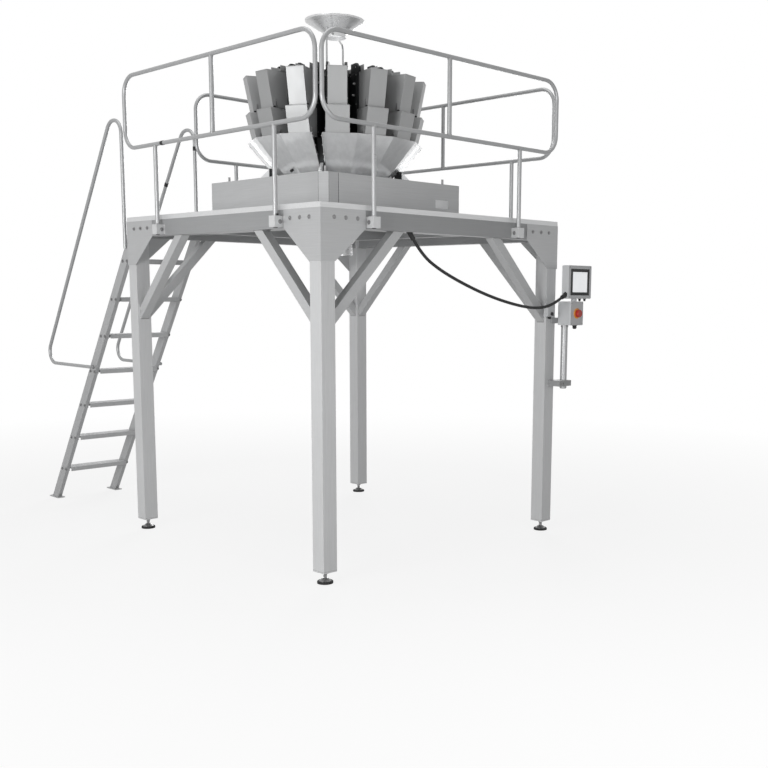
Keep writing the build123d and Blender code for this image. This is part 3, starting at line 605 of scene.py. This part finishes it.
# Guard rails: beads at every joint, clamp bolts, caps at the posts' feet, a plug on one clamp
RAIL_POSTS = {"front": (-690, 600), "left": (-600, 690), "right": (-600, 690), "back": (-680, 124)}
RAIL_UPRIGHTS = {"front": -70, "left": 70, "right": 100, "back": -280}
CLAMP_HALF, CLAMP_MIDDLE, CLAMP_BOLT_HEIGHT = 28, 1080, 2102
CLAMP_SCREW_OFFSET, CLAMP_SCREW_PLANE = 18, 1106
post_bead = weld_ring(UPRIGHT_RADIUS + 0.4)
cap_radius = UPRIGHT_RADIUS - 0.5
foot_cap = lathe([(0, -3), (cap_radius - 1.5, -3), (cap_radius, -1.5), (cap_radius, 0)], 20)
clamp_screw = screw_head(6, 4)
for side_name, posts in RAIL_POSTS.items():
    side = turn(SIDES[side_name])
    for z in (RAIL_TOP - RAIL_RADIUS, RAIL_LOW + RAIL_RADIUS):
        welds.add(post_bead, side @ move(RAIL_UPRIGHTS[side_name], -RAIL_PLANE, z))
    for x in posts:
        welds.add(post_bead, side @ move(x, -RAIL_PLANE, RAIL_LOW - RAIL_RADIUS))
        dark.add(foot_cap, side @ move(x, -RAIL_PLANE, CLAMP_LOW))
        for sign in (-1, 1):
            place = (x + sign * CLAMP_HALF, -CLAMP_MIDDLE, CLAMP_BOLT_HEIGHT)
            bolts.add(frame_bolt, side @ facing(place, (sign, 0, 0)))
            bolts.add(clamp_screw, side @ move(x + sign * CLAMP_SCREW_OFFSET, -CLAMP_SCREW_PLANE, CLAMP_TOP))
            low, high = (side @ Vector((x + sign * (CLAMP_HALF + 0.5), -BEAM_FACE - 0.5, z))
                         for z in (CLAMP_LOW, CLAMP_TOP))
            welds.add(weld_line(low, high))
dark.add(lathe([(7, 0), (7, 9), (5, 12), (0, 12)], 16), move(-1096, -716, CLAMP_TOP))

# Small dark sleeves on the rails, where the photograph shows them
SLEEVE_RADIUS, SLEEVE_LENGTH = RAIL_RADIUS + 1.5, 30
for centre, direction in (((-1092, 508, RAIL_LOW), (0, 1, 0)), ((-410, 1203, 2743), (0, 0, 1)),
                          ((-410, 1612.7, 2511), (0, 1, -1.4966))):
    centre, half = Vector(centre), Vector(direction).normalized() * SLEEVE_LENGTH / 2
    path = [centre - half, centre - half * 0.9, centre + half * 0.9, centre + half]
    dark.add(bar_along(path, SLEEVE_RADIUS, 18, rounded_ends=False))

# Ladder: tread bolts, anchor bolts, beads and lozenges
LADDER_X, LADDER_TOP_Y, LADDER_SLOPE = -705, 1080, 2200 / 1470
STRINGER_OUTER, STRINGER_MIDDLE, STRINGER_INNER = 270, 255, 239.5
TREADS, TREAD_RISE, TREAD_HEIGHT, TREAD_REACH = 7, 275, 32, 30
FOOT_PLATE, FOOT_BOLT_REACH = 8, 56
HANDRAIL_STAYS = ((1203, 2016), (1801.6, 1120))
TOP_ANCHOR_Y, TOP_ANCHOR_HEIGHTS = 1075, (2100, 2160)
anchor_bolt = hex_bolt(15, 7)
foot_bolt = hex_bolt(15, 8)
lozenges = Group()
lozenge = lathe([(1.0, 0), (0.9, 0.9), (0, 1.2)], 8)


def ladder_y(height):
    return LADDER_TOP_Y + (DECK_TOP - height) / LADDER_SLOPE


def add_lozenge(x, y, z, along):
    length, width = (13, 3.6) if along else (3.6, 13)
    lozenges.add(lozenge, move(x, y, z) @ Matrix.Diagonal((length, width, 1, 1)))


for step in range(1, TREADS + 1):
    height = TREAD_RISE * step
    middle = ladder_y(height)
    low = height - TREAD_HEIGHT
    for sign in (-1, 1):
        for offset in (-TREAD_REACH, TREAD_REACH):
            place = (LADDER_X + sign * STRINGER_OUTER, middle + offset, height - TREAD_HEIGHT / 2)
            bolts.add(light_bolt, facing(place, (sign, 0, 0)))
        inner = LADDER_X + sign * STRINGER_INNER
        welds.add(weld_line((inner, middle - TREAD_REACH, low), (inner, middle + TREAD_REACH, low)))
    for row in range(4):
        for column in range(17):
            add_lozenge(LADDER_X - 224 + column * 28, middle - 45 + row * 30, height,
                        (row + column) % 2 == 0)
for sign in (-1, 1):
    outer = LADDER_X + sign * STRINGER_OUTER
    for offset in (-FOOT_BOLT_REACH, FOOT_BOLT_REACH):
        place = move(LADDER_X + sign * STRINGER_MIDDLE, ladder_y(FOOT_PLATE) + offset, FOOT_PLATE)
        bolts.add(foot_bolt, place)
    for reach, bead_radius in ((0.5, 12.4), (13, 12.6)):
        for y, z in HANDRAIL_STAYS:
            welds.add(weld_ring(bead_radius), facing((outer + sign * reach, y, z), (sign, 0, 0)))
    for z in TOP_ANCHOR_HEIGHTS:
        bolts.add(anchor_bolt, facing((outer, TOP_ANCHOR_Y, z), (sign, 0, 0)))

# Deck: raised lozenges round the weigher's base
LOZENGE_PITCH, LOZENGE_ROWS = 39.5, 26
BASE_CLEARANCE_LOW, BASE_CLEARANCE_HIGH = 680, 614
for row in range(-LOZENGE_ROWS, LOZENGE_ROWS + 1):
    for column in range(-LOZENGE_ROWS, LOZENGE_ROWS + 1):
        x, y = column * LOZENGE_PITCH, row * LOZENGE_PITCH
        inside = (-BASE_CLEARANCE_LOW < x < BASE_CLEARANCE_HIGH
                  and -BASE_CLEARANCE_HIGH < y < BASE_CLEARANCE_LOW)
        if not inside:
            add_lozenge(x, y, DECK_TOP, (row + column) % 2 == 0)

# Levelling feet: threads between the cone and the lock nut, beads round the posts' ends
POST_HALF, POST_LOW, THREAD_LOW, THREAD_PITCH, THREAD_TURNS = 50, 80, 33.5, 2.6, 9
threads = Group()
thread = ring(10.1, 0.9, 28, 6)
for sx in (-1, 1):
    for sy in (-1, 1):
        x, y = sx * POST_CENTRE, sy * POST_CENTRE
        for turn_index in range(THREAD_TURNS):
            threads.add(thread, move(x, y, THREAD_LOW + THREAD_PITCH * turn_index))
        weld_loop([Vector((x + dx * POST_HALF, y + dy * POST_HALF, POST_LOW)) for dx, dy in SQUARE], 0.9)

# Weigher's base: panel on the front and back, dark seam, corner beads, light plate left bare
PANEL_THICKNESS, PANEL_SCREW_HEIGHT, BASE_CORNER = 1.2, 2214, 579
panels = Group()
grooves = Group()
panel = sheet_piece([(-500, 3), (577, 3), (577, 231), (-500, 231)], PANEL_THICKNESS, 0.8)
seam = sheet_piece([(-504, 2), (-500.5, 2), (-500.5, 232), (-504, 232)], 0.5)
panel_screw = screw_head(5, 3)
for angle in (0, 180):
    face = WEIGHER @ turn(angle)
    place = face @ facing((0, -BASE_HALF, DECK_TOP), FRONT)
    panels.add(panel, place)
    grooves.add(seam, place)
    for x in (-470, -210, 40, 290, 545):
        bolts.add(panel_screw, face @ facing((x, -BASE_HALF - PANEL_THICKNESS, PANEL_SCREW_HEIGHT), FRONT))
for angle in SIDES.values():
    face = WEIGHER @ turn(angle)
    for sign in (-1, 1):
        low, high = (face @ Vector((sign * BASE_CORNER, 0.4 - BASE_HALF, z))
                     for z in (DECK_TOP + 2, BASE_TOP - 2))
        grooves.add(weld_line(low, high, 0.9))
    start, end = (face @ Vector((sign * BASE_CORNER, -BASE_HALF - 1, DECK_TOP + 1)) for sign in (-1, 1))
    welds.add(weld_line(start, end, 1.6))
bare_plate = Group()
bare_plate.add(sheet_piece([(-62, -28), (62, -28), (62, 28), (-62, 28)], 0.8, 0.5),
               facing((WEIGHER_X + 410, WEIGHER_Y - BASE_HALF - PANEL_THICKNESS, 2298), FRONT))

# Hoppers: hems, hinge pins, bushings and gate levers on each head
HOUSING_FACE, HEM_RADIUS, HEM_BEND, PIN_RADIUS, PIN_INSET = 455, 1.9, 6, 3.2, 9
POOL_HOPPER = {"width": 122, "low": 2880, "high": 3106, "low_outer": 572, "high_outer": 617}
WEIGH_HOPPER = {"width": 152, "low": 2694, "high": 2872, "low_outer": 557, "high_outer": 602}
hems = Group()
levers = Group()
bush = lathe([(7.5, 0), (7.5, 7), (6, 8.5), (0, 8.5)], 16)
LEVER_THICKNESS = 2.5
lever = sheet_piece([(-7, -8), (8, -8), (9, 4), (2, 44), (-5, 44)], LEVER_THICKNESS, 0.6)
lever_screw = screw_head(4, 2.5)
MIRROR_X = Matrix.Diagonal((-1, 1, 1, 1))


def hopper_trim(head, width, low, high, low_outer, high_outer):
    half = width / 2
    path = [(HOUSING_FACE + 2, -half), (high_outer - HEM_BEND, -half),
            (high_outer - HEM_BEND * 0.3, -half + HEM_BEND * 0.3), (high_outer, -half + HEM_BEND)]
    path += [(x, -y) for x, y in reversed(path)]
    hems.add(bar_along([(x, y, high - 1) for x, y in path], HEM_RADIUS, 8), head)
    pin_x, pin_z = low_outer - PIN_INSET, low - 1
    hems.add(bar_along([(pin_x, -half - 6, pin_z), (pin_x, half + 6, pin_z)], PIN_RADIUS, 10), head)
    for sign in (-1, 1):
        dark.add(bush, head @ facing((pin_x, sign * half, pin_z), (0, sign, 0)))
        place = head @ facing((pin_x - 16, sign * half, low + 6), (0, sign, 0))
        levers.add(lever, place if sign > 0 else place @ MIRROR_X)
        screw_place = (pin_x - 18, sign * (half + LEVER_THICKNESS), low + 42)
        bolts.add(lever_screw, head @ facing(screw_place, (0, sign, 0)))


# Drive housings and feeder pans: covers, their screws, plugs in every other head, pan rims
COVER_X, COVER_Z, COVER_HALF, HOUSING_HALF, COVER_THICKNESS = 396, 2908, 46, 69, 2
COVER_SCREW_X, COVER_SCREW_Z = (-36, 36), (-182, 0, 182)
PLUGS = ((418, 3036), (408, 2966))
housing_trim = Group()
connectors = Group()
pan_rims = Group()
cover = sheet_piece([(-COVER_HALF, -196), (40, -196), (COVER_HALF, -190), (COVER_HALF, 190), (40, 196),
                     (-COVER_HALF, 196)], COVER_THICKNESS, 0.8)
cover_screw = screw_head(4, 2.2)
housing_screw = screw_head(5, 2.5)
plug = lathe([(8, 0), (8, 6), (6.5, 7), (6.5, 14), (5, 16), (0, 16)], 16)
for index in range(HEADS):
    head = WEIGHER @ turn(PITCH * index)
    hopper_trim(head, **POOL_HOPPER)
    hopper_trim(head, **WEIGH_HOPPER)
    for sign in (-1, 1):
        outward = (0, sign, 0)
        cover_face = sign * (HOUSING_HALF + COVER_THICKNESS)
        housing_trim.add(cover, head @ facing((COVER_X, sign * HOUSING_HALF, COVER_Z), outward))
        for dx in COVER_SCREW_X:
            for dz in COVER_SCREW_Z:
                bolts.add(cover_screw, head @ facing((COVER_X + dx, cover_face, COVER_Z + dz), outward))
        bolts.add(housing_screw, head @ facing((425, sign * HOUSING_HALF, 3140), outward))
        if index % 2 == 0:
            for x, z in PLUGS:
                connectors.add(plug, head @ facing((x, cover_face, z), outward))
    for sign in (-1, 1):
        pan_rims.add(bar_along([(214, sign * 37.2, 3148), (498.5, sign * 49.2, 3148)], 1.7, 8), head)

# Collecting chutes: nuts along the flanges, small dark knobs low on two panels
CHUTE_LOW, CHUTE_APOTHEM, CHUTE_SLOPE = 2450, 356, 0.851
FLANGE_HALF, FLANGE_SPREAD = 13.5, 0.0765
flange_nut = hex_bolt(9, 5)
knob = lathe([(9, 0), (9, 3), (6, 4), (6, 9), (10, 11), (10, 18), (8, 20), (0, 20)], 20)


def chute_apothem(z):
    return CHUTE_APOTHEM + (z - CHUTE_LOW) * CHUTE_SLOPE


for column_angle in COLUMN_ANGLES:
    column = WEIGHER @ turn(column_angle)
    for sign in (-1, 1):
        for z in (2582, 2632, 2682):
            reach = chute_apothem(z) / cos(radians(PITCH / 2)) + 10
            aside = FLANGE_HALF + (z - CHUTE_LOW) * FLANGE_SPREAD
            bolts.add(flange_nut, column @ facing((reach, sign * aside, z), (0, -sign, 0)))
for azimuth, aside, z in ((180, 34, 2502), (308.6, 62, 2526)):
    dark.add(knob, WEIGHER @ turn(azimuth) @ facing((chute_apothem(z), aside, z), (1, 0, -CHUTE_SLOPE)))

# Infeed funnel and cone: rims, beads, rod feet and the cone's nut
FUNNEL_NECK, ROD_HEIGHT = 75, 3421
funnel_trim = Group()
funnel_trim.add(ring(199.5, 2.6, 72, 8), WEIGHER @ move(0, 0, 3519.2))
funnel_trim.add(ring(FUNNEL_NECK, 1.6, 48, 8), WEIGHER @ move(0, 0, 3409.5))
welds.add(weld_ring(FUNNEL_NECK + 0.3, 1.3), WEIGHER @ move(0, 0, 3434))
rod_foot = lathe([(15, 0), (15, 4), (11, 5), (11, 14), (8, 16), (6.2, 16)], 18)
for column_angle in (COLUMN_ANGLES[0], COLUMN_ANGLES[2]):
    arm = WEIGHER @ turn(column_angle)
    welds.add(weld_ring(6.4, 1.5), arm @ facing((FUNNEL_NECK + 0.5, 0, ROD_HEIGHT), (1, 0, 0)))
    bolts.add(rod_foot, arm @ move(272, 0, 3096))
bolts.add(hex_bolt(24, 12), WEIGHER @ move(0, 0, 3215))

# Column feet: beads along both sides on the base
for column_angle in COLUMN_ANGLES:
    arm = WEIGHER @ turn(column_angle)
    for sign in (-1, 1):
        near, far = (arm @ Vector((reach, sign * 10.5, BASE_TOP + 0.5)) for reach in (477, 548))
        welds.add(weld_line(near, far, 1.8))

# Operator screen, switch box and stop button
SCREEN_X, SCREEN_Z, SWITCH_X, SWITCH_Z, PANEL_FACE = 1166, 1785, 1137.5, 1567, -1190
JUNCTION_X, JUNCTION_Z, JUNCTION_FACE = 965, 1587.5, -1097
BEZEL_THICKNESS = 1.2
panel_corner_screw = screw_head(3.6, 2)


def corner_screws(screw, centre, reach):
    """A screw at each corner of a front face."""
    for dx in (-reach[0], reach[0]):
        for dz in (-reach[1], reach[1]):
            bolts.add(screw, facing((centre[0] + dx, centre[1], centre[2] + dz), FRONT))


bezel = Group()
bezel.add(frame_piece((215, 185), (168, 140), BEZEL_THICKNESS, 0.4),
          facing((SCREEN_X, PANEL_FACE + BEZEL_THICKNESS, SCREEN_Z), FRONT))
button = lathe([(4.5, 0), (4.5, 0.7), (3.6, 1), (0, 1)], 16)
for offset in (-40, 0, 40):
    bezel.add(button, facing((SCREEN_X + offset, PANEL_FACE, 1704), FRONT))
box_trim = Group()
box_trim.add(frame_piece((141, 162), (133, 154), 1, 0.4), facing((SWITCH_X, PANEL_FACE, SWITCH_Z), FRONT))
corner_screws(panel_corner_screw, (SWITCH_X, PANEL_FACE, SWITCH_Z), (62, 72))
corner_screws(panel_corner_screw, (SCREEN_X, PANEL_FACE, SCREEN_Z), (118, 103))
amber = Group()
amber.add(lathe([(36, 0), (36, 3), (34, 4.5), (23.5, 4.5), (23.5, 0)], 36),
          facing((SWITCH_X, PANEL_FACE, SWITCH_Z), FRONT))
dark.add(lathe([(17, 0), (17, -7), (15, -8), (15, -20), (11, -26), (8, -28), (0, -28)], 12),
         move(1180, -1140, 1484))
dark.add(lathe([(13, 0), (13, -6), (11, -7), (11, -15), (7, -19), (0, -19)], 12), move(971, -1077, 1545))
dark.add(lathe([(13, 0), (13, 7), (10, 10), (0, 10)], 18), facing((971, JUNCTION_FACE, 1563), FRONT))
corner_screws(screw_head(3, 1.8), (JUNCTION_X, JUNCTION_FACE, JUNCTION_Z), (27, 34))
blind_gland = lathe([(11, 0), (11, -5), (8, -6), (8, -16), (5, -18), (0, -18)], 16)
for x in (1262, 1204):
    dark.add(blind_gland, move(x, -1160, 1670))

# Screen pole: collar, end cap and bracket bolts
POLE_X, POLE_Y = 1090, -1120
bolts.add(lathe([(24.6, 0), (26.5, 1), (26.5, 11), (24.6, 12)], 32), move(POLE_X, POLE_Y, 1470))
dark.add(lathe([(0, -4), (21, -4), (23.5, -2), (23.5, 0)], 28), move(POLE_X, POLE_Y, 1040))
for x in (1017, 1042):
    bolts.add(light_bolt, facing((x, -1160, 1075), FRONT))

bolts.build("bolt_set", bolt_steel, smooth=35)
welds.build("weld_beads", weld_steel, smooth=60)
dark.build("dark_fittings", black_plastic, smooth=40)
lozenges.build("deck_lozenges", deck_steel, smooth=50)
threads.build("foot_threads", bolt_steel, smooth=60)
panels.build("base_panels", base_steel, smooth=30)
grooves.build("base_seams", seam_steel, smooth=30)
bare_plate.build("base_bare_plate", bare_paint, smooth=30)
hems.build("hopper_hems", hopper_steel, smooth=60)
levers.build("gate_levers", bolt_steel, smooth=30)
housing_trim.build("housing_covers", black_casting, smooth=30)
connectors.build("housing_plugs", bolt_steel, smooth=40)
pan_rims.build("pan_rims", hopper_steel, smooth=60)
funnel_trim.build("funnel_rims", funnel_steel, smooth=60)
bezel.build("screen_bezel", black_plastic, smooth=30)
box_trim.build("switch_box_lid", panel_paint, smooth=30)
amber.build("stop_ring", stop_amber, smooth=40)


# Floor, world and lights, in metres and watts
FLOOR_RADIUS, FLOOR_SIDES, FLOOR_DROP = 14, 64, 0.0005
FADE_FROM, FADE_TO = 2.5, 7.0
WORLD_STRENGTH = 0.14
WHITE = (1, 1, 1, 1)


def seen_directly(tree):
    """Whether a ray is the camera's own, and whether it is that or comes by way of a mirror or glass."""
    path = tree.nodes.new("ShaderNodeLightPath")
    mirrored = math_node(tree, "MAXIMUM", path.outputs["Is Glossy Ray"], path.outputs["Is Transmission Ray"])
    return path.outputs["Is Camera Ray"], math_node(tree, "MAXIMUM", path.outputs["Is Camera Ray"], mirrored)


def floor_material():
    """Pale floor that keeps the object's shadow and fades into the white background."""
    material, tree, shader = new_material("floor")
    shader.inputs["Roughness"].default_value = 0.9
    shader.inputs["Specular IOR Level"].default_value = 0.1
    glow = tree.nodes.new("ShaderNodeEmission")
    glow.inputs["Color"].default_value = WHITE
    coords = tree.nodes.new("ShaderNodeTexCoord")
    reach = tree.nodes.new("ShaderNodeVectorMath")
    reach.operation = "LENGTH"
    tree.links.new(coords.outputs["Object"], reach.inputs[0])
    share = remap(tree, reach.outputs["Value"], 0.84, 1.0, FADE_FROM, FADE_TO)
    camera_ray, seen = seen_directly(tree)
    colour = mix_colour(tree, camera_ray, (0.35, 0.35, 0.35), (0.8, 0.8, 0.8))
    tree.links.new(colour, shader.inputs["Base Color"])
    blend = tree.nodes.new("ShaderNodeMixShader")
    tree.links.new(math_node(tree, "MULTIPLY", share, seen), blend.inputs[0])
    tree.links.new(shader.outputs[0], blend.inputs[1])
    tree.links.new(glow.outputs[0], blend.inputs[2])
    tree.links.new(blend.outputs[0], tree.nodes["Material Output"].inputs["Surface"])
    return material


floor_mesh = bpy.data.meshes.new("floor")
floor_angles = [2 * pi * side / FLOOR_SIDES for side in range(FLOOR_SIDES)]
floor_edge = [Vector((FLOOR_RADIUS * cos(angle), FLOOR_RADIUS * sin(angle), 0)) for angle in floor_angles]
floor_mesh.from_pydata(floor_edge, [], [tuple(range(FLOOR_SIDES))])
floor_mesh.materials.append(floor_material())
floor = bpy.data.objects.new("floor", floor_mesh)
floor.location = (0, 0, -FLOOR_DROP)
bpy.context.scene.collection.objects.link(floor)

world = bpy.data.worlds.new("world")
bpy.context.scene.world = world
world.use_nodes = True
sky = world.node_tree.nodes["Background"]
sky.inputs["Color"].default_value = WHITE
_, seen = seen_directly(world.node_tree)
world.node_tree.links.new(remap(world.node_tree, seen, WORLD_STRENGTH, 1.0, 0.0, 1.0), sky.inputs["Strength"])


def area_light(name, place, target, size, power):
    data = bpy.data.lights.new(name, "AREA")
    data.shape = "RECTANGLE"
    data.size, data.size_y = size
    data.energy = power
    lamp = bpy.data.objects.new(name, data)
    lamp.location = place
    lamp.rotation_euler = (Vector(target) - Vector(place)).to_track_quat("-Z", "Y").to_euler()
    bpy.context.scene.collection.objects.link(lamp)


area_light("key", (-7.2, -2.4, 1.9), (0, -0.5, 1.9), (4, 3), 285)
area_light("top", (-1.0, -0.5, 8.0), (0, -0.5, 1.5), (5, 5), 140)
area_light("fill", (-1.4, -5.3, 1.4), (0, -0.5, 1.9), (2.4, 2), 44)
area_light("back", (7.0, 6.0, 4.0), (0, 0.5, 1.9), (4, 4), 340)

bpy.context.scene.view_settings.view_transform = "Standard"
